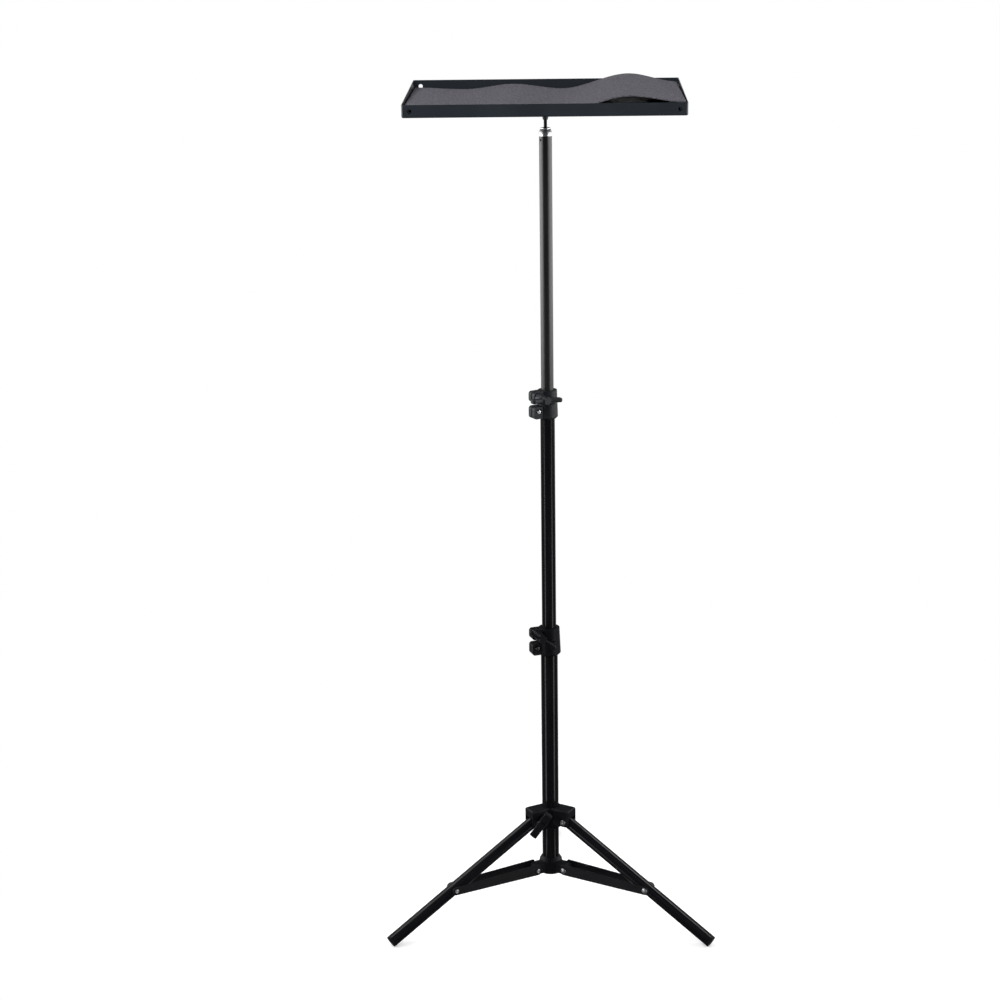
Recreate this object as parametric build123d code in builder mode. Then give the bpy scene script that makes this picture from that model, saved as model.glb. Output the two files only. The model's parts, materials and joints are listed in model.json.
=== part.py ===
import os
from math import acos, cos, hypot, radians, sin, tan

from build123d import *

os.makedirs("parts", exist_ok=True)

# Portable projector stand: a folding tripod with a telescoping column and a shallow tray.
# Frame: +Z up, origin on the floor under the column, the front of the tray towards -Y.

# Telescoping column
lower_tube_diameter = 25.0
mid_tube_diameter = 21.0
top_tube_diameter = 18.0
tube_wall = 1.2
lower_tube_length = 369.1
mid_tube_exposed = 317.2
top_tube_exposed = 362.0
mid_tube_overlap = 47.0
top_tube_overlap = 45.0
top_tube_hole_diameter = 2.8
top_tube_hole_drop = 5.6
top_tube_hole_azimuth = 221.0

# Legs and braces
leg_diameter = 18.0
leg_wall = 1.2
leg_length = 281.0
leg_overhang = 6.0
leg_to_brace_pivot = 159.0
brace_length = 138.0
pivot_radius = 28.0
brace_sheet = 1.2
brace_hub_end_radius = 7.0
brace_leg_end_radius = 6.5
brace_above_pivot = 10.3
brace_behind_pivot = 5.0
brace_corner_radius = 3.0
foot_cap_length = 4.0
foot_plug_length = 14.0
foot_chamfer = 0.8
leg_names = ["left", "right", "rear"]
rear_leg_azimuth = 90.0

# Pivot pins and rivets
pin_radius = 2.0
rivet_head_radius = 4.4
rivet_head_height = 2.0
rivet_tail_radius = 3.2
rivet_tail_height = 1.5

# Brace hub, fixed at the foot of the lower tube
hub_sleeve_wall = 4.4
hub_rim_wall = 0.8
hub_cone_height = 5.5
hub_floor = 3.0
hub_below_pivot = 8.5
hub_above_pivot = 17.0
hub_lug_radius = 6.5
hub_lug_rise = 8.0

# Sliding leg collar
collar_sleeve_wall = 3.6
collar_cheek = 2.6
collar_arm_reach = 37.0
collar_below_pivot = 6.5
collar_top_plate = 8.8
collar_skirt = 7.0
collar_edge = 2.2
collar_boss_radius = 7.0
collar_knob_azimuth = 253.5
collar_knob_rise = 6.4
collar_knob_seat = 28.2
collar_knob_turn = 56.0

# Tube clamps
clamp_wall_low = 4.5
clamp_wall_high = 4.8
clamp_ear_lift = 2.5
clamp_lower_ear_height = 17.8
clamp_ear_gap = 6.2
clamp_upper_ear_height = 15.3
clamp_ear_reach = 11.8
clamp_ear_thickness = 16.0
clamp_screw_offset = 6.4
clamp_split = 1.4
clamp_slit = 1.2
clamp_slit_depth = 4.0
clamp_foot_chamfer = 3.0
clamp_ear_round = 4.0
lower_clamp_turn = 21.0
upper_clamp_turn = 32.0
lower_knob_turn = 39.0
upper_knob_turn = 4.0
clamp_bolt_rise = 1.5
clamp_bolt_head_radius = 3.4
clamp_bolt_head_height = 2.6
clamp_bolt_head_round = 1.8
clamp_bolt_seat_radius = 4.9
clamp_bolt_seat_depth = 1.0

# Wing knobs: slim wings on the clamps and a broad bar on the collar
knob_screw_radius = 2.5
knob_hub_radius = 7.0
knob_hub_tip_radius = 5.6
knob_hub_length = 25.0
knob_blade_start = 14.0
knob_blade_depth = 11.0
knob_blade_rake = 2.0
knob_blade_round = 4.0
clamp_knob_span = 50.0
clamp_knob_thickness = 6.4
clamp_knob_edge = 2.4
collar_knob_span = 46.0
collar_knob_thickness = 11.4
collar_knob_edge = 1.6
knob_screw_grip = 12.0
nut_across_flats = 8.0
nut_thickness = 3.2

# Spigot, stud and tray socket
spigot_flange_height = 1.5
spigot_skirt_radius = 9.7
spigot_neck_radius = 6.7
spigot_lip_radius = 7.1
spigot_lip_height = 1.2
spigot_height = 11.0
spigot_plug_length = 16.0
stud_diameter = 5.0
stud_exposed = 11.0
stud_engagement = 14.0
socket_radius = 8.0
socket_tip_radius = 3.4
socket_height = 22.0
socket_flange_radius = 19.0
socket_flange_height = 2.5

# Tray and foam mat
tray_width = 380.0
tray_depth = 280.0
tray_wall_height = 17.5
tray_sheet = 1.2
tray_corner_radius = 3.0
tray_bend_radius = 2.4
strap_hole_diameter = 6.0
strap_hole_inset = 10.5
mat_thickness = 3.0
mat_side_gap = 1.6
mat_end_gap = 2.6
mat_rest_gap = 0.3
mat_ripple_height = 6.7
mat_hump_height = 21.5
mat_left_curl = 1.0
mat_right_curl = 8.0

# Where the mat turns, as shares of its half width
mat_left_valley = -0.61
mat_ripple_crest = -0.28
mat_right_valley = 0.09
mat_hump_crest = 0.62

# Clearances between pieces
fixed_gap = 0.02
running_gap = 0.08
slide_gap = 0.2
leg_side_gap = 0.3

# Shape of the open tripod: the braces lie level
leg_pitch = 360 / len(leg_names)
leg_azimuths = {}
for step, side in enumerate(leg_names, 1):
    leg_azimuths[side] = (rear_leg_azimuth + leg_pitch * step) % 360
lower_tube_radius = lower_tube_diameter / 2
mid_tube_radius = mid_tube_diameter / 2
top_tube_radius = top_tube_diameter / 2
leg_radius = leg_diameter / 2
leg_angle = acos(brace_length / leg_to_brace_pivot)
collar_pivot_height = (leg_length - foot_chamfer) * sin(leg_angle) + leg_radius * cos(leg_angle)
hub_pivot_height = collar_pivot_height - leg_to_brace_pivot * sin(leg_angle)
brace_pivot_radius = pivot_radius + brace_length

# Heights of the column, from the hub upwards
hub_bottom = hub_pivot_height - hub_below_pivot
lower_tube_bottom = hub_bottom + hub_floor
lower_tube_top = lower_tube_bottom + lower_tube_length
clamp_lower_ear_top = clamp_ear_lift + clamp_lower_ear_height
clamp_joint_height = clamp_lower_ear_top + clamp_ear_gap / 2
clamp_upper_ear_bottom = clamp_lower_ear_top + clamp_ear_gap
clamp_height = clamp_upper_ear_bottom + clamp_upper_ear_height
clamp_bolt_height = clamp_ear_lift + clamp_lower_ear_height / 2 + clamp_bolt_rise
clamp_knob_height = clamp_upper_ear_bottom + clamp_upper_ear_height / 2
lower_clamp_bottom = lower_tube_top - clamp_joint_height
lower_clamp_top = lower_clamp_bottom + clamp_height
upper_clamp_bottom = lower_clamp_top + mid_tube_exposed
upper_clamp_top = upper_clamp_bottom + clamp_height
mid_tube_bottom = lower_tube_top - mid_tube_overlap
mid_tube_top = upper_clamp_bottom + clamp_joint_height
top_tube_bottom = mid_tube_top - top_tube_overlap
top_tube_top = upper_clamp_top + top_tube_exposed
spigot_top = top_tube_top + spigot_height
socket_bottom = spigot_top + stud_exposed
tray_bottom = socket_bottom + socket_height
tray_floor = tray_bottom + tray_sheet


def radial_plane(azimuth):
    """Upright plane through the column axis: local x is the radius and local y the height."""
    turn = radians(azimuth)
    return Plane(origin=(0, 0, 0), x_dir=(cos(turn), sin(turn), 0), z_dir=(sin(turn), -cos(turn), 0))


def turned(plane, angle):
    """The same plane, turned about its own normal."""
    turn = radians(angle)
    return Plane(plane.origin, plane.x_dir * cos(turn) + plane.y_dir * sin(turn), plane.z_dir)


def finish(part, name):
    part.label = name
    export_step(part, f"parts/{name}.step")


def tube(radius, wall, bottom, top):
    with BuildPart() as column_tube:
        with BuildSketch(Plane.XY.offset(bottom)):
            Circle(radius)
            Circle(radius - wall, mode=Mode.SUBTRACT)
        extrude(amount=top - bottom)
    return column_tube.part


def dome_radius(rim, height):
    """Radius of the sphere that passes through a dome's rim and its top."""
    return (rim**2 + height**2) / (2 * height)


def rivet_half(grip, start, rim, height):
    """Half of a rivet's outline along local x: shank from the start, then a domed end beyond the grip."""
    side = 1 if grip > 0 else -1
    top = grip + side * height
    Polyline((start, 0), (start, pin_radius), (grip, pin_radius), (grip, rim))
    RadiusArc((grip, rim), (top, 0), side * dome_radius(rim, height))
    Line((top, 0), (start, 0))


def rivet(centre, direction, start, grip):
    """Rivet across a leg's plane, with its broad head along the direction and its tail the other way."""
    with BuildPart() as pin:
        with BuildSketch(Plane(origin=centre, x_dir=direction, z_dir=(0, 0, 1))):
            with BuildLine():
                rivet_half(grip, start, rivet_head_radius, rivet_head_height)
            make_face()
            with BuildLine():
                rivet_half(-grip, -start, rivet_tail_radius, rivet_tail_height)
            make_face()
        revolve(axis=Axis(centre, direction))
    return pin.part


def pivot_pins(height, grip):
    """Three pivot pins, one across each leg's plane."""
    with BuildPart() as pins:
        for azimuth in leg_azimuths.values():
            upright = radial_plane(azimuth)
            add(rivet(upright.from_local_coords((pivot_radius, height, 0)), upright.z_dir, 0, grip))
    return pins.part


def clamp_plane(height, turn):
    """Plane of a clamp's foot: local x points along the ears and local y along the screws."""
    angle = radians(turn)
    return Plane(origin=(0, 0, height), x_dir=(-cos(angle), -sin(angle), 0), z_dir=(0, 0, 1))


def clamp_side(foot):
    """Upright plane through a clamp's ears: local x points along the ears and local y upwards."""
    return Plane(origin=foot.origin, x_dir=foot.x_dir, z_dir=-foot.y_dir)


def screw_reach(outer_radius):
    """Distance of both clamp screws from the column's axis."""
    return outer_radius + clamp_wall_low / 2 + clamp_screw_offset


def tube_clamp(foot, outer_radius, inner_radius):
    """Split clamp: the lower ears grip the outer tube and the upper ears the tube that slides in it."""
    low_radius = outer_radius + clamp_wall_low
    high_radius = inner_radius + clamp_wall_high
    reach = low_radius + clamp_ear_reach
    bolt_place = (screw_reach(outer_radius), clamp_bolt_height)
    knob_place = (screw_reach(outer_radius), clamp_knob_height)
    side = clamp_side(foot)
    with BuildPart() as clamp:
        with BuildSketch(side):
            with BuildLine():
                Polyline(
                    (0, 0),
                    (low_radius - clamp_foot_chamfer, 0),
                    (low_radius, clamp_foot_chamfer),
                    (high_radius, clamp_height),
                    (0, clamp_height),
                    close=True,
                )
            make_face()
        revolve(axis=Axis.Z)
        with BuildSketch(side):
            with Locations((0, clamp_ear_lift)):
                Rectangle(reach, clamp_lower_ear_height, align=Align.MIN)
            with Locations((0, clamp_upper_ear_bottom)):
                Rectangle(reach, clamp_upper_ear_height, align=Align.MIN)
            fillet(vertices().group_by(Axis.X)[-1], clamp_ear_round)
        extrude(amount=clamp_ear_thickness / 2, both=True)
        with BuildSketch(foot.offset(clamp_joint_height - clamp_slit / 2)):
            with Locations((-clamp_slit_depth, 0)):
                Rectangle(2 * reach, 2 * reach, align=(Align.MIN, Align.CENTER))
        extrude(amount=clamp_slit, mode=Mode.SUBTRACT)
        with BuildSketch(foot):
            Rectangle(2 * reach, clamp_split, align=(Align.MIN, Align.CENTER))
        extrude(amount=clamp_height, mode=Mode.SUBTRACT)
        with BuildSketch(foot):
            Circle(outer_radius + fixed_gap)
        extrude(amount=clamp_joint_height, mode=Mode.SUBTRACT)
        with BuildSketch(foot):
            Circle(inner_radius + slide_gap)
        extrude(amount=clamp_height, mode=Mode.SUBTRACT)
        with BuildSketch(side):
            with Locations(bolt_place):
                Circle(pin_radius + fixed_gap)
            with Locations(knob_place):
                Circle(knob_screw_radius + running_gap)
        extrude(amount=clamp_ear_thickness, both=True, mode=Mode.SUBTRACT)
        with BuildSketch(side.offset(-clamp_ear_thickness / 2)):
            with Locations(bolt_place):
                Circle(clamp_bolt_seat_radius)
        extrude(amount=clamp_bolt_seat_depth, mode=Mode.SUBTRACT)
        with BuildSketch(side.offset(clamp_ear_thickness / 2 - nut_thickness)):
            with Locations(bolt_place, knob_place):
                RegularPolygon(nut_across_flats / 2 + fixed_gap, 6, major_radius=False)
        extrude(amount=nut_thickness, mode=Mode.SUBTRACT)
    return clamp.part


def clamp_nuts(foot, outer_radius):
    """Two hex nuts, seated in the pockets on the back of the ears."""
    bolt_place = (screw_reach(outer_radius), clamp_bolt_height)
    knob_place = (screw_reach(outer_radius), clamp_knob_height)
    with BuildPart() as nuts:
        with BuildSketch(clamp_side(foot).offset(clamp_ear_thickness / 2 - nut_thickness)):
            with Locations(bolt_place, knob_place):
                RegularPolygon(nut_across_flats / 2, 6, major_radius=False)
            with Locations(bolt_place):
                Circle(pin_radius + fixed_gap, mode=Mode.SUBTRACT)
            with Locations(knob_place):
                Circle(knob_screw_radius + running_gap, mode=Mode.SUBTRACT)
        extrude(amount=nut_thickness)
    return nuts.part


def clamp_bolt(foot, outer_radius):
    """Fixed bolt through the lower ears, with its round head in a seat at the front."""
    bolt_place = (screw_reach(outer_radius), clamp_bolt_height)
    seat = clamp_side(foot).offset(clamp_bolt_seat_depth - clamp_ear_thickness / 2)
    with BuildPart() as bolt:
        with BuildSketch(seat):
            with Locations(bolt_place):
                Circle(pin_radius)
        extrude(amount=clamp_ear_thickness - clamp_bolt_seat_depth)
        with BuildSketch(seat):
            with Locations(bolt_place):
                Circle(clamp_bolt_head_radius)
        extrude(amount=-clamp_bolt_head_height)
        head_face = bolt.faces().sort_by(Axis(foot.origin, foot.y_dir))[-1]
        fillet(head_face.edges(), clamp_bolt_head_round)
    return bolt.part


def wing_knob(seat, span, thickness, edge):
    """Wing knob on the seat plane: the screw runs along local z and the wings along local x."""
    blade_end = knob_blade_start + knob_blade_depth
    with BuildPart() as knob:
        side = Plane(origin=seat.origin, x_dir=seat.x_dir, z_dir=-seat.y_dir)
        with BuildSketch(side):
            with BuildLine():
                Polyline(
                    (0, knob_blade_start),
                    (span / 2, knob_blade_start + knob_blade_rake),
                    (span / 2, blade_end + knob_blade_rake),
                    (knob_hub_radius, blade_end - knob_blade_rake),
                    (0, blade_end - knob_blade_rake),
                )
                mirror(about=Plane.YZ)
            make_face()
            ends = vertices().group_by(Axis.X)
            fillet(ends[0] + ends[-1], knob_blade_round)
        extrude(amount=thickness / 2, both=True)
        flat_sides = knob.faces().filter_by(Plane(seat.origin, z_dir=seat.y_dir))
        fillet(flat_sides.edges(), edge)
        with BuildSketch(side):
            with BuildLine():
                Polyline(
                    (0, slide_gap),
                    (knob_hub_radius, slide_gap),
                    (knob_hub_tip_radius, knob_hub_length),
                    (0, knob_hub_length),
                    close=True,
                )
            make_face()
        revolve(axis=Axis(seat.origin, seat.z_dir))
        with BuildSketch(seat):
            Circle(knob_screw_radius + fixed_gap)
        extrude(amount=knob_screw_grip, mode=Mode.SUBTRACT)
    return knob.part


def knob_screw(seat, reach):
    """Screw moulded into a wing knob, reaching back through the piece that it tightens."""
    with BuildPart() as screw:
        with BuildSketch(seat.offset(-reach)):
            Circle(knob_screw_radius)
        extrude(amount=reach + knob_screw_grip)
        chamfer(screw.edges().sort_by(Axis(seat.origin, seat.z_dir))[0], knob_screw_radius / 4)
    return screw.part


# Column tubes
finish(tube(lower_tube_radius, tube_wall, lower_tube_bottom, lower_tube_top), "lower_tube")
finish(tube(mid_tube_radius, tube_wall, mid_tube_bottom, mid_tube_top), "mid_tube")

with BuildPart() as top_tube:
    add(tube(top_tube_radius, tube_wall, top_tube_bottom, top_tube_top))
    hole_turn = radians(top_tube_hole_azimuth)
    hole_centre = (0, 0, top_tube_top - top_tube_hole_drop)
    with BuildSketch(Plane(origin=hole_centre, z_dir=(cos(hole_turn), sin(hole_turn), 0))):
        Circle(top_tube_hole_diameter / 2)
    extrude(amount=top_tube_diameter, mode=Mode.SUBTRACT)
finish(top_tube.part, "top_tube")

# Brace hub: a cup with a coned rim on the foot of the lower tube, and three rounded lugs
hub_top = hub_pivot_height + hub_above_pivot
hub_sleeve_radius = lower_tube_radius + hub_sleeve_wall
lug_width = leg_diameter + 2 * leg_side_gap - 2 * slide_gap
with BuildPart() as brace_hub:
    with BuildSketch(Plane.XZ):
        with BuildLine():
            Polyline(
                (0, hub_bottom),
                (hub_sleeve_radius, hub_bottom),
                (hub_sleeve_radius, hub_top - hub_cone_height),
                (lower_tube_radius + hub_rim_wall, hub_top),
                (0, hub_top),
                close=True,
            )
        make_face()
    revolve(axis=Axis.Z)
    for azimuth in leg_azimuths.values():
        with BuildSketch(radial_plane(azimuth)):
            with Locations((pivot_radius, hub_pivot_height)):
                Circle(hub_lug_radius)
            with Locations((0, hub_pivot_height - hub_lug_radius)):
                Rectangle(pivot_radius, hub_lug_radius + hub_lug_rise, align=Align.MIN)
            make_hull()
        extrude(amount=lug_width / 2, both=True)
    for azimuth in leg_azimuths.values():
        with BuildSketch(radial_plane(azimuth)):
            with Locations((pivot_radius, hub_pivot_height)):
                Circle(pin_radius + fixed_gap)
        extrude(amount=lug_width, both=True, mode=Mode.SUBTRACT)
    with BuildSketch(Plane.XY.offset(lower_tube_bottom)):
        Circle(lower_tube_radius + fixed_gap)
    extrude(amount=hub_top - lower_tube_bottom, mode=Mode.SUBTRACT)
finish(brace_hub.part, "brace_hub")

bar_inside = leg_radius + leg_side_gap
bar_outside = bar_inside + brace_sheet
finish(pivot_pins(hub_pivot_height, bar_outside + slide_gap), "hub_pins")

# Leg collar: a sleeve with three arms, each a pocket between two cheeks under a top plate.
# The pocket's roof is round about the pivot and then slopes down along the open leg, which stops there.
collar_bore = lower_tube_radius + slide_gap
collar_sleeve_radius = lower_tube_radius + collar_sleeve_wall
collar_arm_width = 2 * (bar_inside + collar_cheek)
pocket_swing = hypot(leg_overhang, leg_radius) + leg_side_gap
roof_rise = (leg_radius + leg_side_gap) / cos(leg_angle)
roof_end = 2 * collar_arm_reach
roof_drop = (roof_end - pivot_radius) * tan(leg_angle) - roof_rise
collar_bottom = collar_pivot_height - collar_below_pivot
collar_top = collar_pivot_height + pocket_swing + collar_top_plate
knob_turn = radians(collar_knob_azimuth)
collar_knob_axis = Vector(cos(knob_turn), sin(knob_turn), 0)
collar_knob_height = collar_pivot_height + collar_knob_rise
collar_knob_base = Plane(
    origin=collar_knob_axis * collar_knob_seat + Vector(0, 0, collar_knob_height),
    x_dir=(-sin(knob_turn), cos(knob_turn), 0),
    z_dir=collar_knob_axis,
)
with BuildPart() as leg_collar:
    with BuildSketch(Plane.XY.offset(collar_bottom)):
        with PolarLocations(0, len(leg_names), start_angle=rear_leg_azimuth):
            Rectangle(collar_arm_reach, collar_arm_width, align=(Align.MIN, Align.CENTER))
    extrude(amount=collar_top - collar_bottom)
    chamfer(leg_collar.edges().group_by(Axis.Z)[-1], collar_edge)
    with BuildSketch(Plane.XY.offset(collar_bottom - collar_skirt)):
        Circle(collar_sleeve_radius)
    extrude(amount=collar_top - collar_bottom + collar_skirt - collar_edge)
    with BuildSketch(collar_knob_base):
        Circle(collar_boss_radius)
    extrude(amount=-(collar_knob_seat - collar_bore))
    for azimuth in leg_azimuths.values():
        with BuildSketch(radial_plane(azimuth)):
            with Locations((pivot_radius, collar_pivot_height)):
                Circle(pocket_swing)
            with BuildLine():
                Polyline(
                    (collar_sleeve_radius, collar_bottom - collar_arm_reach),
                    (collar_sleeve_radius, collar_pivot_height),
                    (pivot_radius, collar_pivot_height),
                    (pivot_radius, collar_pivot_height + roof_rise),
                    (roof_end, collar_pivot_height - roof_drop),
                    (roof_end, collar_bottom - collar_arm_reach),
                    close=True,
                )
            make_face()
        extrude(amount=bar_inside, both=True, mode=Mode.SUBTRACT)
        with BuildSketch(radial_plane(azimuth)):
            with Locations((pivot_radius, collar_pivot_height)):
                Circle(pin_radius + fixed_gap)
        extrude(amount=collar_arm_width, both=True, mode=Mode.SUBTRACT)
    with BuildSketch(Plane.XY.offset(collar_bottom - collar_skirt)):
        Circle(collar_bore)
    extrude(amount=collar_top, mode=Mode.SUBTRACT)
    with BuildSketch(collar_knob_base):
        Circle(knob_screw_radius + running_gap)
    extrude(amount=-collar_knob_seat, mode=Mode.SUBTRACT)
finish(leg_collar.part, "leg_collar")
finish(pivot_pins(collar_pivot_height, collar_arm_width / 2), "collar_pins")

# Legs, their end plugs, and the braces with their rivets
leg_tube_length = leg_overhang + leg_length - foot_cap_length
corner_place = (brace_corner_radius - brace_behind_pivot, brace_above_pivot - brace_corner_radius)
for side, azimuth in leg_azimuths.items():
    upright = radial_plane(azimuth)
    pivot = upright.from_local_coords((pivot_radius, collar_pivot_height, 0))
    leg_direction = upright.x_dir * cos(leg_angle) - Vector(0, 0, sin(leg_angle))
    leg_top = pivot - leg_direction * leg_overhang
    leg_start = Plane(origin=leg_top, x_dir=upright.z_dir, z_dir=leg_direction)

    with BuildPart() as leg:
        with BuildSketch(leg_start):
            Circle(leg_radius)
            Circle(leg_radius - leg_wall, mode=Mode.SUBTRACT)
        extrude(amount=leg_tube_length)
        with BuildSketch(upright):
            with Locations((pivot_radius, collar_pivot_height)):
                Circle(pin_radius + running_gap)
        extrude(amount=leg_diameter, both=True, mode=Mode.SUBTRACT)
    finish(leg.part, f"leg_{side}")

    leg_end = leg_start.offset(leg_tube_length)
    with BuildPart() as foot:
        with BuildSketch(leg_end):
            Circle(leg_radius)
        extrude(amount=foot_cap_length)
        chamfer(foot.edges().sort_by(Axis(pivot, leg_direction))[-1], foot_chamfer)
        with BuildSketch(leg_end):
            Circle(leg_radius - leg_wall - fixed_gap)
        extrude(amount=-foot_plug_length)
    finish(foot.part, f"foot_{side}")

    # Each brace is a pair of flat bars, one on either side of the hub's lug and the leg
    hinge = upright.from_local_coords((pivot_radius, hub_pivot_height, 0))
    brace_plane = Plane(origin=hinge, x_dir=upright.x_dir, z_dir=upright.z_dir)
    with BuildPart() as brace:
        with BuildSketch(brace_plane.offset(bar_inside), brace_plane.offset(-bar_outside)):
            Circle(brace_hub_end_radius)
            with Locations(corner_place):
                Circle(brace_corner_radius)
            with Locations((brace_length, 0)):
                Circle(brace_leg_end_radius)
            make_hull()
            Circle(pin_radius + running_gap, mode=Mode.SUBTRACT)
            with Locations((brace_length, 0)):
                Circle(pin_radius + fixed_gap, mode=Mode.SUBTRACT)
        extrude(amount=brace_sheet)
    finish(brace.part, f"brace_{side}")

    joint = upright.from_local_coords((brace_pivot_radius, hub_pivot_height, 0))
    finish(rivet(joint, upright.z_dir, bar_inside, bar_outside), f"brace_rivets_{side}")

# Tube clamps with their bolts, nuts and wing knobs
clamps = {
    "lower": (lower_clamp_bottom, lower_clamp_turn, lower_tube_radius, mid_tube_radius, lower_knob_turn),
    "upper": (upper_clamp_bottom, upper_clamp_turn, mid_tube_radius, top_tube_radius, upper_knob_turn),
}
knob_seats = {}
for level, (bottom, turn, outer_radius, inner_radius, knob_angle) in clamps.items():
    clamp_foot = clamp_plane(bottom, turn)
    finish(tube_clamp(clamp_foot, outer_radius, inner_radius), f"{level}_clamp")
    finish(clamp_nuts(clamp_foot, outer_radius), f"{level}_clamp_nuts")
    finish(clamp_bolt(clamp_foot, outer_radius), f"{level}_clamp_bolt")
    screw_place = (screw_reach(outer_radius), clamp_ear_thickness / 2, clamp_knob_height)
    knob_base = Plane(
        origin=clamp_foot.from_local_coords(screw_place),
        x_dir=-clamp_foot.x_dir,
        z_dir=clamp_foot.y_dir,
    )
    knob_seats[level] = turned(knob_base, -knob_angle)
    clamp_knob = wing_knob(knob_seats[level], clamp_knob_span, clamp_knob_thickness, clamp_knob_edge)
    finish(clamp_knob, f"{level}_knob")
    finish(knob_screw(knob_seats[level], clamp_ear_thickness), f"{level}_knob_screw")

knob_seats["collar"] = turned(collar_knob_base, collar_knob_turn)
collar_knob = wing_knob(knob_seats["collar"], collar_knob_span, collar_knob_thickness, collar_knob_edge)
finish(collar_knob, "collar_knob")
finish(knob_screw(knob_seats["collar"], collar_knob_seat - collar_bore), "collar_knob_screw")

# Spigot cap pressed into the top tube: a flared skirt, a neck and a thin lip, around the stud
stud_radius = stud_diameter / 2
plug_radius = top_tube_radius - tube_wall - fixed_gap
plug_bottom = top_tube_top - spigot_plug_length
lip_bottom = spigot_top - spigot_lip_height
with BuildPart() as spigot_cap:
    with BuildSketch(Plane.XZ):
        with BuildLine():
            Polyline(
                (spigot_neck_radius, lip_bottom),
                (spigot_lip_radius, lip_bottom),
                (spigot_lip_radius, spigot_top),
                (stud_radius + fixed_gap, spigot_top),
                (stud_radius + fixed_gap, plug_bottom),
                (plug_radius, plug_bottom),
                (plug_radius, top_tube_top),
                (spigot_skirt_radius, top_tube_top),
                (spigot_skirt_radius, top_tube_top + spigot_flange_height),
            )
            TangentArc(
                (spigot_skirt_radius, top_tube_top + spigot_flange_height),
                (spigot_neck_radius, lip_bottom),
                tangent=(0, 1),
            )
        make_face()
    revolve(axis=Axis.Z)
finish(spigot_cap.part, "spigot_cap")

with BuildPart() as tray_stud:
    with BuildSketch(Plane.XY.offset(plug_bottom)):
        Circle(stud_radius)
    extrude(amount=spigot_plug_length + spigot_height + stud_exposed + stud_engagement)
    chamfer(tray_stud.edges().sort_by(Axis.Z)[-1], stud_radius / 4)
finish(tray_stud.part, "tray_stud")

# Socket under the tray: a tapered barrel on a round flange, turning on the stud
socket_roof = socket_height - stud_engagement - slide_gap
with BuildPart() as tray_socket:
    with BuildSketch(Plane.XZ):
        with BuildLine():
            Polyline(
                (0, tray_bottom),
                (socket_flange_radius, tray_bottom),
                (socket_flange_radius, tray_bottom - socket_flange_height),
                (socket_radius, tray_bottom - socket_flange_height),
                (socket_tip_radius, socket_bottom),
                (stud_radius + running_gap, socket_bottom),
                (stud_radius + running_gap, tray_bottom - socket_roof),
                (0, tray_bottom - socket_roof),
                close=True,
            )
        make_face()
    revolve(axis=Axis.Z)
finish(tray_socket.part, "tray_socket")

# Tray: a folded sheet pan with two strap holes in its front wall and two in its back wall
with BuildPart() as tray_pan:
    with BuildSketch(Plane.XY.offset(tray_bottom)):
        RectangleRounded(tray_width, tray_depth, tray_corner_radius)
    extrude(amount=tray_wall_height)
    fillet(tray_pan.edges().group_by(Axis.Z)[0], tray_bend_radius)
    offset(amount=-tray_sheet, openings=tray_pan.faces().sort_by(Axis.Z)[-1])
    with BuildSketch(Plane.XZ):
        with Locations((0, tray_bottom + tray_wall_height / 2)):
            with GridLocations(tray_width - 2 * strap_hole_inset, 0, 2, 1):
                Circle(strap_hole_diameter / 2)
    extrude(amount=tray_depth, both=True, mode=Mode.SUBTRACT)
finish(tray_pan.part, "tray_pan")

# Foam mat: a loose sheet that ripples, touches the tray in two valleys and humps at the right
mat_half_width = tray_width / 2 - tray_sheet - mat_side_gap
mat_bottom = tray_floor + mat_rest_gap
mat_turns = [
    (-1, mat_left_curl),
    (mat_left_valley, 0),
    (mat_ripple_crest, mat_ripple_height),
    (mat_right_valley, 0),
    (mat_hump_crest, mat_hump_height),
    (1, mat_right_curl),
]
under_side = [(share * mat_half_width, mat_bottom + rise) for share, rise in mat_turns]
upper_side = [(x, z + mat_thickness) for x, z in reversed(under_side)]
with BuildPart() as foam_mat:
    with BuildSketch(Plane.XZ):
        with BuildLine():
            for start, end in zip(under_side, under_side[1:]):
                Spline(start, end, tangents=((1, 0), (1, 0)))
            Line(under_side[-1], upper_side[0])
            for start, end in zip(upper_side, upper_side[1:]):
                Spline(start, end, tangents=((-1, 0), (-1, 0)))
            Line(upper_side[-1], under_side[0])
        make_face()
    extrude(amount=tray_depth / 2 - tray_sheet - mat_end_gap, both=True)
finish(foam_mat.part, "foam_mat")
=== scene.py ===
import json
from math import atan2, cos, pi, radians, sin, sqrt

import bmesh
import bpy
from mathutils import Matrix, Vector


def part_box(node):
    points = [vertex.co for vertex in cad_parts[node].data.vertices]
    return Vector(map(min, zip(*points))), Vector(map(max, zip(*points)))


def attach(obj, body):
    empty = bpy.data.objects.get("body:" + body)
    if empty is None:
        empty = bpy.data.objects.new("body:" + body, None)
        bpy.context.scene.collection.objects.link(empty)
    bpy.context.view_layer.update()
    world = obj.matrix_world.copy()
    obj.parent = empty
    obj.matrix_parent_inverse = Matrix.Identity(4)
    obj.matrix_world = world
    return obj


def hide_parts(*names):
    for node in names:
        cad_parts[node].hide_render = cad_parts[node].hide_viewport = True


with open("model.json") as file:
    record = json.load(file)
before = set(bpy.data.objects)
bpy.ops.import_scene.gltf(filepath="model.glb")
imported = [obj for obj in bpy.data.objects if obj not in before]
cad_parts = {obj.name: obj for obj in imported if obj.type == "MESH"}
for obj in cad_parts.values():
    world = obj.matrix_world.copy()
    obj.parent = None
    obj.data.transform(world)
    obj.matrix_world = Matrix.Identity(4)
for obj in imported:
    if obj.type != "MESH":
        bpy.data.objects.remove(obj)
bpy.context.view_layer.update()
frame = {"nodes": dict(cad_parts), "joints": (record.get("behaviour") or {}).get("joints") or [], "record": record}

nodes = frame["nodes"]
record = frame["record"]
nodeSlots = {part["node"]: part["material_slot"] for part in record["subparts"]}
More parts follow.
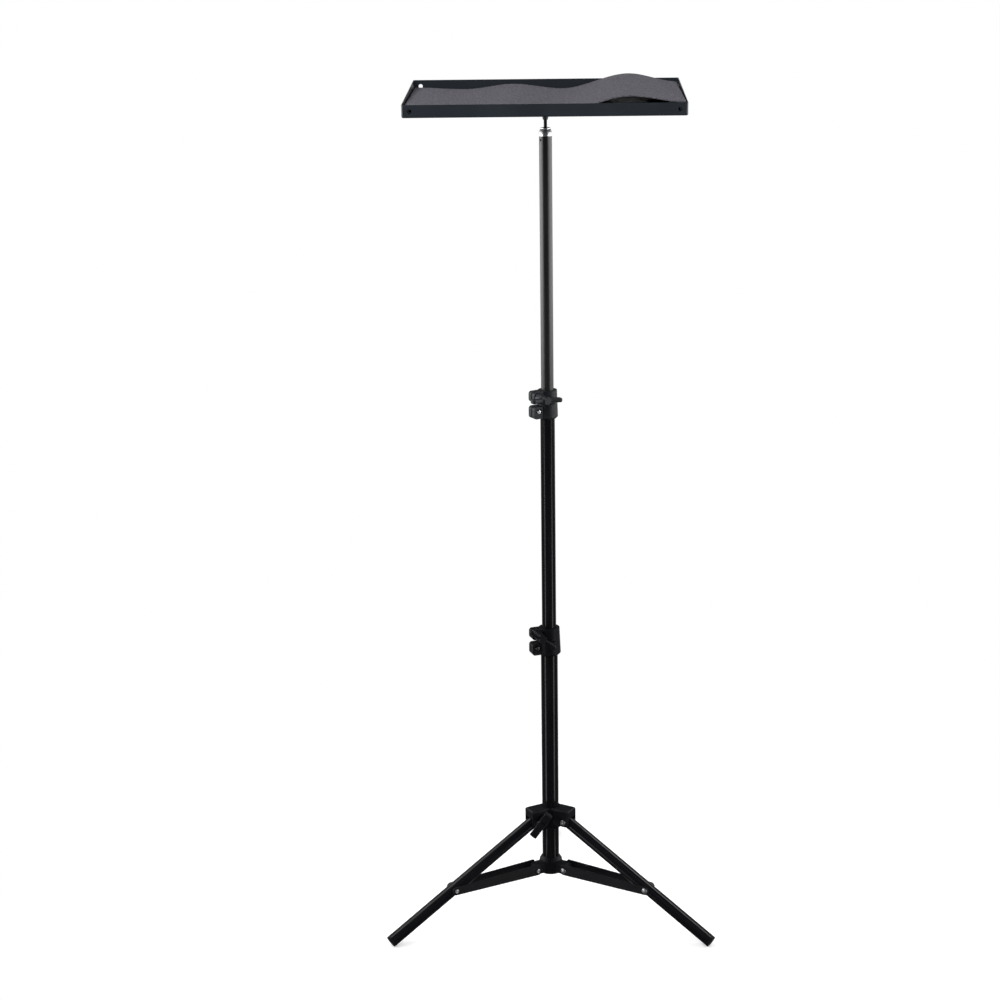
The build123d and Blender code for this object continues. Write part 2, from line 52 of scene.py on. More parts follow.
nodeBodies = {node: body for body, group in record["behaviour"]["bodies"].items() for node in group}
joints = {joint["name"]: joint for joint in frame["joints"]}
sides = ("left", "right", "rear")
mm = 0.001
hair = 1e-6  # points closer than this are the same point
upward = Vector((0, 0, 1))
columnFoot = Vector((0, 0, 0))
print("frame loaded:", len(nodes), "nodes")


# Finishes: small helpers first, then each finish of the stand with its values

def startFinish(name, roughness, metallic=0.0, specular=0.5):
    finish = bpy.data.materials.new(name)
    finish.use_nodes = True
    tree = finish.node_tree
    shader = tree.nodes["Principled BSDF"]
    shader.inputs["Roughness"].default_value = roughness
    shader.inputs["Metallic"].default_value = metallic
    shader.inputs["Specular IOR Level"].default_value = specular
    return finish, tree, shader


def placeCoords(tree, stretch=(1, 1, 1), turn=(0, 0, 0)):
    coords = tree.nodes.new("ShaderNodeTexCoord")
    mapping = tree.nodes.new("ShaderNodeMapping")
    mapping.vector_type = "TEXTURE"
    mapping.inputs["Rotation"].default_value = turn
    mapping.inputs["Scale"].default_value = stretch
    tree.links.new(coords.outputs["Object"], mapping.inputs["Vector"])
    return mapping.outputs["Vector"]


def addNoise(tree, coords, grain):
    noise = tree.nodes.new("ShaderNodeTexNoise")
    noise.inputs["Scale"].default_value = 1 / grain["size"]
    noise.inputs["Detail"].default_value = grain["detail"]
    tree.links.new(coords, noise.inputs["Vector"])
    return noise.outputs["Fac"]


def addCells(tree, coords, grain):
    cells = tree.nodes.new("ShaderNodeTexVoronoi")
    cells.inputs["Scale"].default_value = 1 / grain["size"]
    tree.links.new(coords, cells.inputs["Vector"])
    return cells.outputs["Distance"]


def addColours(tree, height, low, high, lowAt=0.3, highAt=0.7):
    ramp = tree.nodes.new("ShaderNodeValToRGB")
    ramp.color_ramp.elements[0].position = lowAt
    ramp.color_ramp.elements[0].color = (*low, 1)
    ramp.color_ramp.elements[1].position = highAt
    ramp.color_ramp.elements[1].color = (*high, 1)
    tree.links.new(height, ramp.inputs["Fac"])
    return ramp.outputs["Color"]


def addRange(tree, height, low, high, lowAt=0.3, highAt=0.7):
    spread = tree.nodes.new("ShaderNodeMapRange")
    spread.inputs["From Min"].default_value = lowAt
    spread.inputs["From Max"].default_value = highAt
    spread.inputs["To Min"].default_value = low
    spread.inputs["To Max"].default_value = high
    tree.links.new(height, spread.inputs["Value"])
    return spread.outputs["Result"]


def addBump(tree, shader, height, grain, under=None):
    bump = tree.nodes.new("ShaderNodeBump")
    bump.inputs["Distance"].default_value = grain["depth"]
    bump.inputs["Strength"].default_value = grain["strength"]
    tree.links.new(height, bump.inputs["Height"])
    if under:
        tree.links.new(under, bump.inputs["Normal"])
    tree.links.new(bump.outputs["Normal"], shader.inputs["Normal"])
    return bump.outputs["Normal"]


def layFinish(name, coat, metallic=0.0, marksTurn=(0, 0, 0)):
    # colour from its tone noise, roughness from its patches, and bump from its grain
    finish, tree, shader = startFinish(name, coat["rough"][1], metallic, coat["gloss"])
    heights = {}
    for layer in ("tone", "patches", "grain"):
        coords = placeCoords(tree, coat[layer].get("stretch", (1, 1, 1)), marksTurn)
        heights[layer] = addNoise(tree, coords, coat[layer])
    tone = addColours(tree, heights["tone"], coat["low"], coat["high"])
    tree.links.new(tone, shader.inputs["Base Color"])
    tree.links.new(addRange(tree, heights["patches"], *coat["rough"]), shader.inputs["Roughness"])
    addBump(tree, shader, heights["grain"], coat["grain"])
    return finish


# Powder coat: a slow cloud of tone and fine orange peel
powderCoats = {
    "tray": {
        "low": (0.017, 0.021, 0.027),
        "high": (0.022, 0.027, 0.034),
        "rough": (0.28, 0.36),
        "gloss": 0.45,
        "grain": {"size": 0.9 * mm, "detail": 3, "depth": 0.003 * mm, "strength": 0.5},
    },
    "brace": {
        "low": (0.0035, 0.0037, 0.005),
        "high": (0.006, 0.0063, 0.0085),
        "rough": (0.4, 0.52),
        "gloss": 0.25,
        "grain": {"size": 0.6 * mm, "detail": 3, "depth": 0.015 * mm, "strength": 0.5},
    },
}
for coat in powderCoats.values():
    coat["tone"] = {"size": 60 * mm, "detail": 2}
    coat["patches"] = {"size": 4 * mm, "detail": 2}

# Tube paint: fine drawing marks run along the tube, so its noise is stretched that way
tubePaints = {
    "dark": {
        "low": (0.0028, 0.0028, 0.0038),
        "high": (0.0055, 0.0055, 0.007),
        "rough": (0.14, 0.22),
        "gloss": 0.25,
    },
    "top": {
        "low": (0.008, 0.008, 0.009),
        "high": (0.013, 0.013, 0.014),
        "rough": (0.26, 0.36),
        "gloss": 0.6,
    },
}
drawMarks = {
    "size": 1.2 * mm,
    "detail": 3,
    "stretch": (1, 1, 120),
    "depth": 0.002 * mm,
    "strength": 0.3,
}
for paint in tubePaints.values():
    paint["tone"] = {"size": 6 * mm, "detail": 4, "stretch": (1, 1, 14)}
    paint["patches"] = drawMarks
    paint["grain"] = drawMarks

# Moulded nylon: one black nylon, and a lighter copy of it on the upper clamp and its knob, painted light for the
# stronger light up high
nylons = {
    "black": {"low": (0.0026, 0.0029, 0.0043), "high": (0.0052, 0.0056, 0.0076), "gloss": 0.14},
    "grey": {"low": (0.008, 0.009, 0.0115), "high": (0.013, 0.0145, 0.018), "gloss": 0.3},
}
for nylon in nylons.values():
    nylon["rough"] = (0.4, 0.55)
    nylon["tone"] = {"size": 12 * mm, "detail": 3}
    nylon["patches"] = {"size": 3 * mm, "detail": 2}
    nylon["grain"] = {"size": 0.35 * mm, "detail": 2, "depth": 0.02 * mm, "strength": 0.6}

# Plated steel: rivets and nuts, the stud and lower bolt, and the cap under the tray
platings = {
    "zinc": {"low": (0.5, 0.5, 0.51), "high": (0.68, 0.68, 0.69), "rough": (0.32, 0.44)},
    "blackened": {"low": (0.1, 0.095, 0.09), "high": (0.17, 0.16, 0.155), "rough": (0.3, 0.42)},
    "chrome": {"low": (0.86, 0.87, 0.88), "high": (0.92, 0.92, 0.93), "rough": (0.3, 0.38)},
}
for plating in platings.values():
    plating["gloss"] = 0.5
    plating["tone"] = {"size": 2 * mm, "detail": 4}
    plating["patches"] = {"size": 0.8 * mm, "detail": 3}
    plating["grain"] = {"size": 0.4 * mm, "detail": 2, "depth": 0.004 * mm, "strength": 0.4}

# Closed-cell foam: a skin of small cells with a fine mottle, dull at every angle
foamSkin = {
    "low": (0.061, 0.0585, 0.069),
    "high": (0.137, 0.132, 0.153),
    "spread": (0.34, 0.66),
    "rough": 0.95,
    "gloss": 0.06,
    "sheen": (0.02, 0.6),
    "cells": {"size": 0.9 * mm, "depth": 0.1 * mm, "strength": 0.6},
    "mottle": {"size": 2.6 * mm, "detail": 4, "depth": 0.12 * mm, "strength": 0.5},
}


def closedFoam(name, skin):
    finish, tree, shader = startFinish(name, skin["rough"], specular=skin["gloss"])
    coords = placeCoords(tree)
    mottle = addNoise(tree, coords, skin["mottle"])
    tone = addColours(tree, mottle, skin["low"], skin["high"], *skin["spread"])
    tree.links.new(tone, shader.inputs["Base Color"])
    weight, roughness = skin["sheen"]
    shader.inputs["Sheen Weight"].default_value = weight
    shader.inputs["Sheen Roughness"].default_value = roughness
    pores = addBump(tree, shader, addCells(tree, coords, skin["cells"]), skin["cells"])
    addBump(tree, shader, mottle, skin["mottle"], pores)
    return finish


finishes = {
    "tray_paint": layFinish("trayPowderCoat", powderCoats["tray"]),
    "brace_paint": layFinish("bracePowderCoat", powderCoats["brace"]),
    "tube_paint": layFinish("columnPaint", tubePaints["dark"]),
    "nylon": layFinish("blackNylon", nylons["black"]),
    "steel": layFinish("brightZinc", platings["zinc"], metallic=1.0),
    "dark_steel": layFinish("blackenedSteel", platings["blackened"], metallic=1.0),
    "chrome": layFinish("brightChrome", platings["chrome"], metallic=1.0),
    "foam": closedFoam("greyFoam", foamSkin),
}
print("finishes made:", len(finishes))


# Shared ways of making a piece

def addObject(name, data):
    made = bpy.data.objects.new(name, data)
    bpy.context.scene.collection.objects.link(made)
    return made


def putPiece(name, build, node, finish=None, smoothAngle=32):
    bmesh.ops.recalc_face_normals(build, faces=build.faces)
    if build.calc_volume(signed=True) < 0:  # a deep pocket can turn the whole shell inside out
        bmesh.ops.reverse_faces(build, faces=build.faces)
    mesh = bpy.data.meshes.new(name)
    build.to_mesh(mesh)
    build.free()
    mesh.shade_smooth()
    mesh.set_sharp_from_angle(angle=radians(smoothAngle))
    piece = addObject(name, mesh)
    mesh.materials.append(finish or finishes[nodeSlots[node]])
    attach(piece, nodeBodies[node])
    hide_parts(node)
    return piece


def pieceName(node):
    words = node.split("_")
    return words[0] + "".join(word.title() for word in words[1:])


def spanAlong(node, origin, direction, near=None):
    # how far a node reaches along a line each way, and away from it
    offsets = [vert.co - origin for vert in nodes[node].data.vertices]
    if near:
        offsets = [offset for offset in offsets if offset.length < near]
    along = [offset.dot(direction) for offset in offsets]
    away = [(offset - direction * step).length for offset, step in zip(offsets, along)]
    return min(along), max(along), max(away)


def axisPoint(node, direction):
    # a point on the axis of a round node: half way between its extremes, twice across the axis
    across = direction.orthogonal().normalized()
    point = Vector((0, 0, 0))
    for line in (across, direction.cross(across)):
        steps = [vert.co.dot(line) for vert in nodes[node].data.vertices]
        point += line * (min(steps) + max(steps)) / 2
    return point


def axisFrame(origin, direction):
    return Matrix.Translation(origin) @ direction.to_track_quat("Z", "Y").to_matrix().to_4x4()


def quarterTurns(steps):
    return [pi / 2 * step / steps for step in range(steps + 1)]


def spinProfile(build, profile, steps, closed=False, place=Matrix.Identity(4)):
    older = set(build.verts)
    verts = [build.verts.new((radius, 0, height)) for radius, height in profile]
    pairs = list(zip(verts, verts[1:]))
    if closed:
        pairs.append((verts[-1], verts[0]))
    edges = [build.edges.new(pair) for pair in pairs]
    bmesh.ops.spin(
        build,
        geom=verts + edges,
        cent=(0, 0, 0),
        axis=(0, 0, 1),
        angle=2 * pi,
        steps=steps,
        use_merge=True,
    )
    newer = [vert for vert in build.verts if vert not in older]
    bmesh.ops.remove_doubles(build, verts=newer, dist=hair)
    newer = [vert for vert in build.verts if vert not in older]
    bmesh.ops.transform(build, matrix=place, verts=newer)
    return newer


# Edges sharper than this are rounded over, and faces flatter than this are joined, in degrees
softSpec = {"sharp": 28, "flat": 1, "segments": 2}


def softenedCopy(node, edge, finish=None):
    # the node's own shape, merged, with its hard edges rounded over
    build = bmesh.new()
    build.from_mesh(nodes[node].data)
    bmesh.ops.remove_doubles(build, verts=build.verts, dist=hair)
    flat = radians(softSpec["flat"])
    bmesh.ops.dissolve_limit(build, angle_limit=flat, verts=build.verts, edges=build.edges)
    sharp = radians(softSpec["sharp"])
    hard = [line for line in build.edges if line.is_manifold and line.calc_face_angle(0) > sharp]
    bmesh.ops.bevel(
        build,
        geom=hard,
        offset=edge,
        offset_type="OFFSET",
        affect="EDGES",
        segments=softSpec["segments"],
        profile=0.5,
        material=-1,
        clamp_overlap=False,
    )
    piece = putPiece(pieceName(node), build, node, finish)
    # broad faces stay flat up to their rounded edges
    even = piece.modifiers.new("evenShade", "WEIGHTED_NORMAL")
    even.keep_sharp = True
    return piece


# Camera, where the photograph was taken from

cameraView = {
    "place": (0.0234, -3.3268, 1.6382),
    "yaw": 1.603,
    "pitch": 16.619,
    "roll": -0.77,
    "lens": 86.37,
    "sensor": 36,
}
lens = bpy.data.cameras.new("frontCamera")
lens.sensor_width = cameraView["sensor"]
lens.lens = cameraView["lens"]
camera = addObject("frontCamera", lens)
camera.matrix_world = (
    Matrix.Translation(cameraView["place"])
    @ Matrix.Rotation(radians(cameraView["yaw"]), 4, "Z")
    @ Matrix.Rotation(radians(90 - cameraView["pitch"]), 4, "X")
    @ Matrix.Rotation(radians(cameraView["roll"]), 4, "Z")
)
bpy.context.scene.camera = camera
bpy.context.scene.view_settings.view_transform = "Standard"

# Soft boxes: a wide one on each side, low and high strips on each side, and two that only fill
softBoxes = {
    "leftBox": {"place": (-2.1, 0.07, 0.87), "aim": (0, 0, 0.87), "size": (3.1, 1.1), "power": 44},
    "rightBox": {"place": (2.1, -0.05, 0.87), "aim": (0, 0, 0.87), "size": (3.7, 1.1), "power": 44},
    "leftStrip": {"place": (-1.87, -1.17, -0.4), "aim": (0, 0, 0.4), "size": (0.5, 1.0), "power": 5},
    "rightStrip": {"place": (1.94, -1.03, -0.4), "aim": (0, 0, 0.4), "size": (0.5, 1.0), "power": 5},
    "leftTop": {"place": (-1.4, 0.5, 2.4), "aim": (0, 0, 0.3), "size": (1.4, 0.35), "power": 14},
    "rightTop": {"place": (1.4, 0.5, 2.4), "aim": (0, 0, 0.3), "size": (1.4, 0.35), "power": 14},
    "mainBox": {"place": (-0.9, -0.9, 2.1), "aim": (0, 0, 1.2), "size": (0.9, 0.7), "power": 12},
    "frontBox": {"place": (0, -1.6, 1.9), "aim": (0, 0, 1.2), "size": (1.2, 0.5), "power": 10},
}
fillBoxes = ("mainBox", "frontBox")  # these leave no highlight
for name, box in softBoxes.items():
    lamp = bpy.data.lights.new(name, "AREA")
    lamp.shape = "RECTANGLE"
    lamp.size, lamp.size_y = box["size"]
    lamp.energy = box["power"]
    stand = addObject(name, lamp)
    stand.visible_camera = False
    stand.visible_glossy = name not in fillBoxes
    place = Vector(box["place"])
    facing = (Vector(box["aim"]) - place).to_track_quat("-Z", "Y")
    stand.matrix_world = Matrix.Translation(place) @ facing.to_matrix().to_4x4()

# White for the camera, a white backdrop in a dim room for reflections, and a fill from above
roomLight = {
    "white": 1.0,
    "dim": 0.05,
    "side": (0.6, 0.92),  # the backdrop starts behind the sides of the room
    "top": (0.05, 0.25),  # and ends a little above the horizon
    "fill": {"low": 0.06, "high": 0.26, "rise": (-0.3, 0.1)},
}
world = bpy.data.worlds.new("whiteRoom")
bpy.context.scene.world = world
world.use_nodes = True
tree = world.node_tree
background = tree.nodes["Background"]
background.inputs["Color"].default_value = (1, 1, 1, 1)
rays = tree.nodes.new("ShaderNodeLightPath")
outlook = tree.nodes.new("ShaderNodeTexCoord")
split = tree.nodes.new("ShaderNodeSeparateXYZ")
tree.links.new(outlook.outputs["Generated"], split.inputs["Vector"])
behind = addRange(tree, split.outputs["Y"], roomLight["dim"], roomLight["white"], *roomLight["side"])
above = tree.nodes.new("ShaderNodeMapRange")
above.inputs["From Min"].default_value, above.inputs["From Max"].default_value = roomLight["top"]
above.inputs["To Max"].default_value = roomLight["dim"]
tree.links.new(behind, above.inputs["To Min"])
tree.links.new(split.outputs["Z"], above.inputs["Value"])
mirrored = tree.nodes.new("ShaderNodeMath")
mirrored.operation = "MAXIMUM"
tree.links.new(rays.outputs["Is Glossy Ray"], mirrored.inputs[0])
tree.links.new(rays.outputs["Is Transmission Ray"], mirrored.inputs[1])
fill = roomLight["fill"]
fillLevel = addRange(tree, split.outputs["Z"], fill["low"], fill["high"], *fill["rise"])
unseen = tree.nodes.new("ShaderNodeMapRange")
tree.links.new(fillLevel, unseen.inputs["To Min"])
tree.links.new(above.outputs["Result"], unseen.inputs["To Max"])
tree.links.new(mirrored.outputs[0], unseen.inputs["Value"])
brightness = tree.nodes.new("ShaderNodeMapRange")
brightness.inputs["To Max"].default_value = roomLight["white"]
tree.links.new(unseen.outputs["Result"], brightness.inputs["To Min"])
tree.links.new(rays.outputs["Is Camera Ray"], brightness.inputs["Value"])
tree.links.new(brightness.outputs["Result"], background.inputs["Strength"])

# Pale floor that fades into the white room
floorSpec = {
    "half": 1.4,
    "colour": (0.88, 0.88, 0.88),
    "lift": 0.32,
    "fade": (0.34, 0.85),
}
build = bmesh.new()
bmesh.ops.create_grid(build, x_segments=2, y_segments=2, size=floorSpec["half"])
floorMesh = bpy.data.meshes.new("paleFloor")
build.to_mesh(floorMesh)
build.free()
floor = addObject("paleFloor", floorMesh)
floor.visible_glossy = False
paleFloor = bpy.data.materials.new("paleFloor")
paleFloor.use_nodes = True
tree = paleFloor.node_tree
tree.nodes.clear()
diffuse = tree.nodes.new("ShaderNodeBsdfDiffuse")
diffuse.inputs["Color"].default_value = (*floorSpec["colour"], 1)
glow = tree.nodes.new("ShaderNodeEmission")
rays = tree.nodes.new("ShaderNodeLightPath")
lift = addRange(tree, rays.outputs["Is Camera Ray"], 0, floorSpec["lift"], 0, 1)
tree.links.new(lift, glow.inputs["Strength"])
lit = tree.nodes.new("ShaderNodeAddShader")
tree.links.new(diffuse.outputs[0], lit.inputs[0])
tree.links.new(glow.outputs[0], lit.inputs[1])
clear = tree.nodes.new("ShaderNodeBsdfTransparent")
blend = tree.nodes.new("ShaderNodeMixShader")
output = tree.nodes.new("ShaderNodeOutputMaterial")
coords = tree.nodes.new("ShaderNodeTexCoord")
distance = tree.nodes.new("ShaderNodeVectorMath")
distance.operation = "LENGTH"
tree.links.new(coords.outputs["Object"], distance.inputs[0])
fade = addRange(tree, distance.outputs["Value"], 0, 1, *floorSpec["fade"])
tree.links.new(fade, blend.inputs["Fac"])
tree.links.new(lit.outputs[0], blend.inputs[1])
tree.links.new(clear.outputs[0], blend.inputs[2])
tree.links.new(blend.outputs[0], output.inputs["Surface"])
floorMesh.materials.append(paleFloor)
print("camera, lights and floor placed")


# Column tubes, remade round with rolled ends; the top one is a softened copy, so it keeps its hole

tubeSpec = {"steps": 96, "lip": 0.35 * mm, "wall": 1.2 * mm}


def roundTube(node):
    low, high, radius = spanAlong(node, columnFoot, upward)
    inner = radius - tubeSpec["wall"]
    lip = tubeSpec["lip"]
    profile = [
        (inner, low + lip),
        (inner + lip, low),
        (radius - lip, low),
        (radius, low + lip),
        (radius, high - lip),
        (radius - lip, high),
        (inner + lip, high),
        (inner, high - lip),
    ]
    build = bmesh.new()
    spinProfile(build, profile, tubeSpec["steps"], closed=True)
    putPiece(pieceName(node), build, node)


roundTube("lower_tube")
roundTube("mid_tube")
softenedCopy("top_tube", tubeSpec["lip"], layFinish("topTubePaint", tubePaints["top"]))

# Legs, with paint marks along each, and their end plugs
footSpec = {
    "steps": 64,
    "plug": 7.78 * mm,
    "cap": 4.0 * mm,
    "corner": 0.8 * mm,
    "dish": (5.6 * mm, 0.7 * mm),
}
for side in sides:
    pivot = Vector(joints[f"{side}_leg_fold"]["pos_m"])
    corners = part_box(f"leg_{side}")
    direction = ((corners[0] + corners[1]) / 2 - pivot).normalized()
    turn = direction.to_track_quat("Z", "Y").to_euler()
    legPaint = layFinish(f"legPaint{side.title()}", tubePaints["dark"], marksTurn=turn)
    softenedCopy(f"leg_{side}", tubeSpec["lip"], legPaint)
    low, high, radius = spanAlong(f"foot_{side}", pivot, direction)
    plug, corner = footSpec["plug"], footSpec["corner"]
    capStart = high - footSpec["cap"]
    dishRadius, dishDepth = footSpec["dish"]
    profile = [
        (0, low),
        (plug - corner, low),
        (plug, low + corner),
        (plug, capStart),
        (radius, capStart),
        (radius, high - corner),
        (radius - corner, high),
        (dishRadius + dishDepth, high),
        (dishRadius, high - dishDepth),
        (0, high - dishDepth),
    ]
    build = bmesh.new()
    spinProfile(build, profile, footSpec["steps"], place=axisFrame(pivot, direction))
    putPiece(f"{side}FootPlug", build, f"foot_{side}")
print("tubes, legs and end plugs made")

# Nylon mouldings and sheet pieces, with their edges rounded over by these widths
edgeWidths = {
    "brace_hub": 0.6 * mm,
    "leg_collar": 0.7 * mm,
    "lower_clamp": 0.35 * mm,
    "upper_clamp": 0.35 * mm,
    "collar_knob": 0.4 * mm,
    "lower_knob": 0.4 * mm,
    "upper_knob": 0.4 * mm,
    "lower_clamp_nuts": 0.25 * mm,
    "upper_clamp_nuts": 0.25 * mm,
    "tray_pan": 0.3 * mm,
    "tray_socket": 0.4 * mm,
    "spigot_cap": 0.3 * mm,
    "brace_left": 0.3 * mm,
    "brace_right": 0.3 * mm,
    "brace_rear": 0.3 * mm,
}
# the upper clamp and its knob take the lighter copy of the black nylon: painted light where more light falls
paintedLightNylon = layFinish("paintedLightNylon", nylons["grey"])
paintedLightNodes = ("upper_clamp", "upper_knob")
softened = {}
for node, edge in edgeWidths.items():
    softened[node] = softenedCopy(node, edge, paintedLightNylon if node in paintedLightNodes else None)
cap = softened["spigot_cap"]
cap.data.materials.append(finishes["tube_paint"])  # the plug inside the tube is painted dark: painted shade, so the hole in the tube reads dark
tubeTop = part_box("top_tube")[1].z
for face in cap.data.polygons:
    if face.center.z < tubeTop:
        face.material_index = 1
print("mouldings and sheet pieces made:", len(edgeWidths))


# Rivets: a low domed head on one side and a rolled, dimpled tail on the other

rivetSpec = {
    "steps": 40,
    "domeSteps": 9,
    "shank": 2.0 * mm,
    "head": (4.4 * mm, 2.0 * mm),
    "rimShare": 0.2,
    "tail": (3.2 * mm, 1.5 * mm),
    "tailShape": (  # shares of its radius and height
        (0.94, 0), (1, 0.25), (0.94, 0.65), (0.78, 0.93),
        (0.6, 1), (0.42, 0.8), (0.33, 0.4), (0, 0.3),
    ),
    "plate": 1.2 * mm,
    "reach": 20 * mm,
}


def headOutline(grip):
    radius, height = rivetSpec["head"]
    rim = rivetSpec["rimShare"] * height
    dome = [
        (radius * cos(turn), grip + rim + (height - rim) * sin(turn))
        for turn in quarterTurns(rivetSpec["domeSteps"])
    ]
    return [(radius, grip)] + dome


def tailOutline(grip):
    radius, height = rivetSpec["tail"]
    return [(radius * share, -grip - height * rise) for share, rise in rivetSpec["tailShape"]]


def wholeRivet(build, origin, direction, grip):
    shank = rivetSpec["shank"]
    profile = tailOutline(grip)[::-1] + [(shank, -grip), (shank, grip)] + headOutline(grip)
    spinProfile(build, profile, rivetSpec["steps"], place=axisFrame(origin, direction))


def splitRivet(build, origin, direction, grip):
    # the leg swings between the halves
    shank = rivetSpec["shank"]
    start = grip - rivetSpec["plate"]
    place = axisFrame(origin, direction)
    headHalf = [(0, start), (shank, start), (shank, grip)] + headOutline(grip)
    tailHalf = [(0, -start), (shank, -start), (shank, -grip)] + tailOutline(grip)
    spinProfile(build, headHalf, rivetSpec["steps"], place=place)
    spinProfile(build, tailHalf, rivetSpec["steps"], place=place)


headHeight = rivetSpec["head"][1]
for node, joint in (("hub_pins", "brace_fold"), ("collar_pins", "leg_fold")):
    build = bmesh.new()
    for side in sides:
        origin = Vector(joints[f"{side}_{joint}"]["pos_m"])
        direction = Vector(joints[f"{side}_brace_fold"]["axis"])
        high = spanAlong(node, origin, direction, near=rivetSpec["reach"])[1]
        wholeRivet(build, origin, direction, high - headHeight)
    putPiece(pieceName(node), build, node)
for side in sides:
    node = f"brace_rivets_{side}"
    direction = Vector(joints[f"{side}_brace_fold"]["axis"])
    origin = axisPoint(node, direction)
    high = spanAlong(node, origin, direction)[1]
    build = bmesh.new()
    splitRivet(build, origin, direction, high - headHeight)
    putPiece(pieceName(node), build, node)
print("rivets made")


# Clamp bolts: a round head with a cross recess

boltSpec = {
    "steps": 96,
    "domeSteps": 6,
    "shank": 2.0 * mm,
    "head": (3.4 * mm, 2.6 * mm),
    "rim": 0.8 * mm,
    "land": 1.5 * mm,
    "recess": {
        "radius": 1.45 * mm,
        "arm": 1.45 * mm,
        "half": 0.42 * mm,
        "depth": 1.3 * mm,
        "point": 0.3 * mm,
        "taper": 0.7,
    },
}


def crossReach(turn):
    lean = abs((turn + pi / 4) % (pi / 2) - pi / 4)
    recess = boltSpec["recess"]
    return min(recess["arm"] / cos(lean), recess["half"] / max(sin(lean), hair))


def clampBolt(node, direction):
    origin = axisPoint(node, direction)
    low, high = spanAlong(node, origin, direction)[:2]
    headRadius, headHeight = boltSpec["head"]
    shank, rim, land, recess = (boltSpec[key] for key in ("shank", "rim", "land", "recess"))
    seat = high - headHeight
    dome = [
        (land + (headRadius - land) * cos(turn), seat + rim + (headHeight - rim) * sin(turn))
        for turn in quarterTurns(boltSpec["domeSteps"])
    ]
    floorLevel = high - recess["depth"]
    profile = [(0, low), (shank, low), (shank, seat), (headRadius, seat)] + dome
    profile += [
        (recess["radius"], high),
        (recess["radius"], floorLevel),
        (0, floorLevel - recess["point"]),
    ]
    build = bmesh.new()
    made = spinProfile(build, profile, boltSpec["steps"])
    # the round recess is drawn in to a cross, narrower at its floor
    for vert in made:
        reach = sqrt(vert.co.x**2 + vert.co.y**2)
        if 10 * hair < reach < recess["radius"] + hair and vert.co.z > floorLevel - hair:
            gain = crossReach(atan2(vert.co.y, vert.co.x)) / reach
            if vert.co.z < floorLevel + hair:
                gain *= recess["taper"]
            vert.co = (vert.co.x * gain, vert.co.y * gain, vert.co.z)
    bmesh.ops.transform(build, matrix=axisFrame(origin, direction), verts=build.verts)
    putPiece(pieceName(node), build, node)


for level in ("lower", "upper"):
    clampBolt(f"{level}_clamp_bolt", Vector(joints[f"{level}_wing_turn"]["axis"]))
print("clamp bolts made")


# Threaded rods: the tray's stud and the three knob screws

threadSpec = {"pitch": 0.8 * mm, "depth": 0.4 * mm, "steps": 24, "merge": 0.01 * mm}


def threadedRod(node, origin, direction):
    low, high, radius = spanAlong(node, origin, direction)
    pitch, depth, steps = threadSpec["pitch"], threadSpec["depth"], threadSpec["steps"]
    turns = int((high - low) / pitch) + 3  # a turn or more to spare at each end, cut off below
    build = bmesh.new()
    profile = ((radius - depth, 0), (radius, pitch / 2), (radius - depth, pitch))
    verts = [build.verts.new((reach, 0, height)) for reach, height in profile]
    edges = [build.edges.new(pair) for pair in zip(verts, verts[1:])]
    bmesh.ops.spin(
        build,
        geom=verts + edges,
        cent=(0, 0, 0),
        axis=(0, 0, 1),
        dvec=(0, 0, pitch / steps),
        angle=2 * pi * turns,
        steps=steps * turns,
    )
    bmesh.ops.remove_doubles(build, verts=build.verts, dist=hair)
    bmesh.ops.translate(build, vec=(0, 0, low - 1.5 * pitch), verts=build.verts)
    for height, outward in ((low, -1), (high, 1)):
        bmesh.ops.bisect_plane(
            build,
            geom=build.verts[:] + build.edges[:] + build.faces[:],
            plane_co=(0, 0, height),
            plane_no=(0, 0, outward),
            clear_outer=True,
        )
    bmesh.ops.remove_doubles(build, verts=build.verts, dist=threadSpec["merge"])
    bmesh.ops.holes_fill(build, edges=[line for line in build.edges if line.is_boundary])
    bmesh.ops.transform(build, matrix=axisFrame(origin, direction), verts=build.verts)
    putPiece(pieceName(node), build, node)


threadedRod("tray_stud", columnFoot, upward)
for level in ("collar", "lower", "upper"):
    joint = joints[f"{level}_wing_turn"]
    threadedRod(f"{level}_knob_screw", Vector(joint["pos_m"]), Vector(joint["axis"]))
print("threaded rods made")

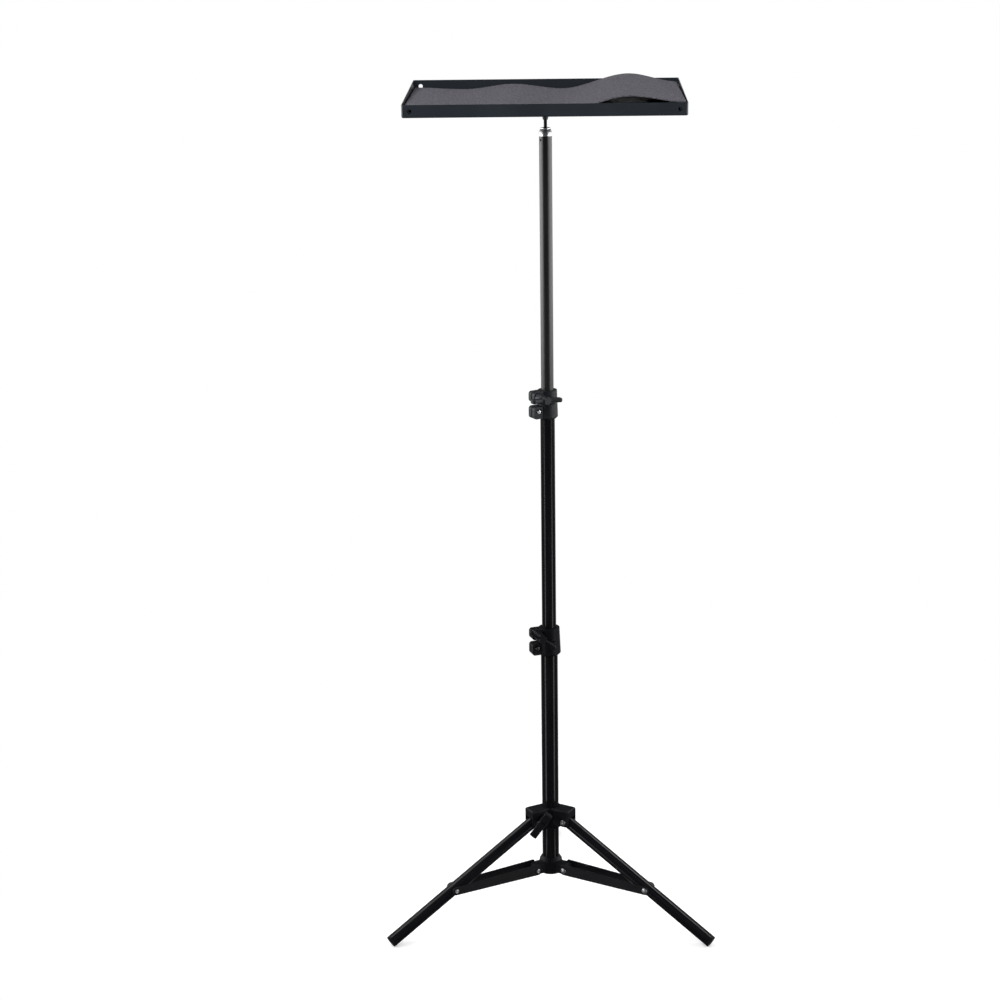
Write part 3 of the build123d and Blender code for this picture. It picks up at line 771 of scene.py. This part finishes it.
# Foam mat: a loose sheet that ripples, with a hump at the right
matSpec = {
    "thickness": 2.2 * mm,
    "lift": 0.6 * mm,
    # turning points of its wave: place as a share of the half width, rise in mm
    "frontTurns": ((-1.0, 10.0), (-0.61, 0.3), (-0.28, 6.7), (0.05, 0.0), (0.61, 23.2), (1.0, 14.2)),
    "backTurns": ((-1.0, 3.0), (-0.61, 0.0), (-0.25, 6.7), (0.13, 0.0), (0.63, 19.9), (1.0, 7.8)),
    "sway": {"height": 0.25 * mm, "along": (3.1, 2.3), "across": (1.9, 4.7)},
    "cells": (150, 100),
    "smoothAngle": 60,
    "edge": {"width": 0.8 * mm, "segments": 3},
    "samples": 400,
}


def matRise(share, depthShare):
    back = (depthShare + 1) / 2
    turns = [
        (near[0] + (far[0] - near[0]) * back, near[1] + (far[1] - near[1]) * back)
        for near, far in zip(matSpec["frontTurns"], matSpec["backTurns"])
    ]
    for (start, low), (end, high) in zip(turns, turns[1:]):
        if share <= end:
            t = max(0.0, (share - start) / (end - start))
            return (low + (high - low) * t * t * (3 - 2 * t)) * mm
    return turns[-1][1] * mm


def matSway(share, depthShare):
    sway = matSpec["sway"]
    along = sway["along"][0] * share + sway["along"][1] * depthShare
    across = sway["across"][1] * depthShare - sway["across"][0] * share
    return sway["height"] * (1 + sin(along) * cos(across))


matLow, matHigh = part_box("foam_mat")
halfWidth = (matHigh.x - matLow.x) / 2
halfDepth = (matHigh.y - matLow.y) / 2
middle = matLow.z + matSpec["lift"] + matSpec["thickness"] / 2
cellsWide, cellsDeep = matSpec["cells"]
build = bmesh.new()
bmesh.ops.create_grid(build, x_segments=cellsWide, y_segments=cellsDeep, size=1)
for vert in build.verts:
    share, depthShare = vert.co.x, vert.co.y
    height = middle + matRise(share, depthShare) + matSway(share, depthShare)
    vert.co = (share * halfWidth, depthShare * halfDepth, height)
foamMat = putPiece("foamMat", build, "foam_mat", smoothAngle=matSpec["smoothAngle"])
thicken = foamMat.modifiers.new("thickness", "SOLIDIFY")
thicken.thickness = matSpec["thickness"]
thicken.offset = 0
roundOver = foamMat.modifiers.new("softEdge", "BEVEL")
roundOver.width = matSpec["edge"]["width"]
roundOver.segments = matSpec["edge"]["segments"]
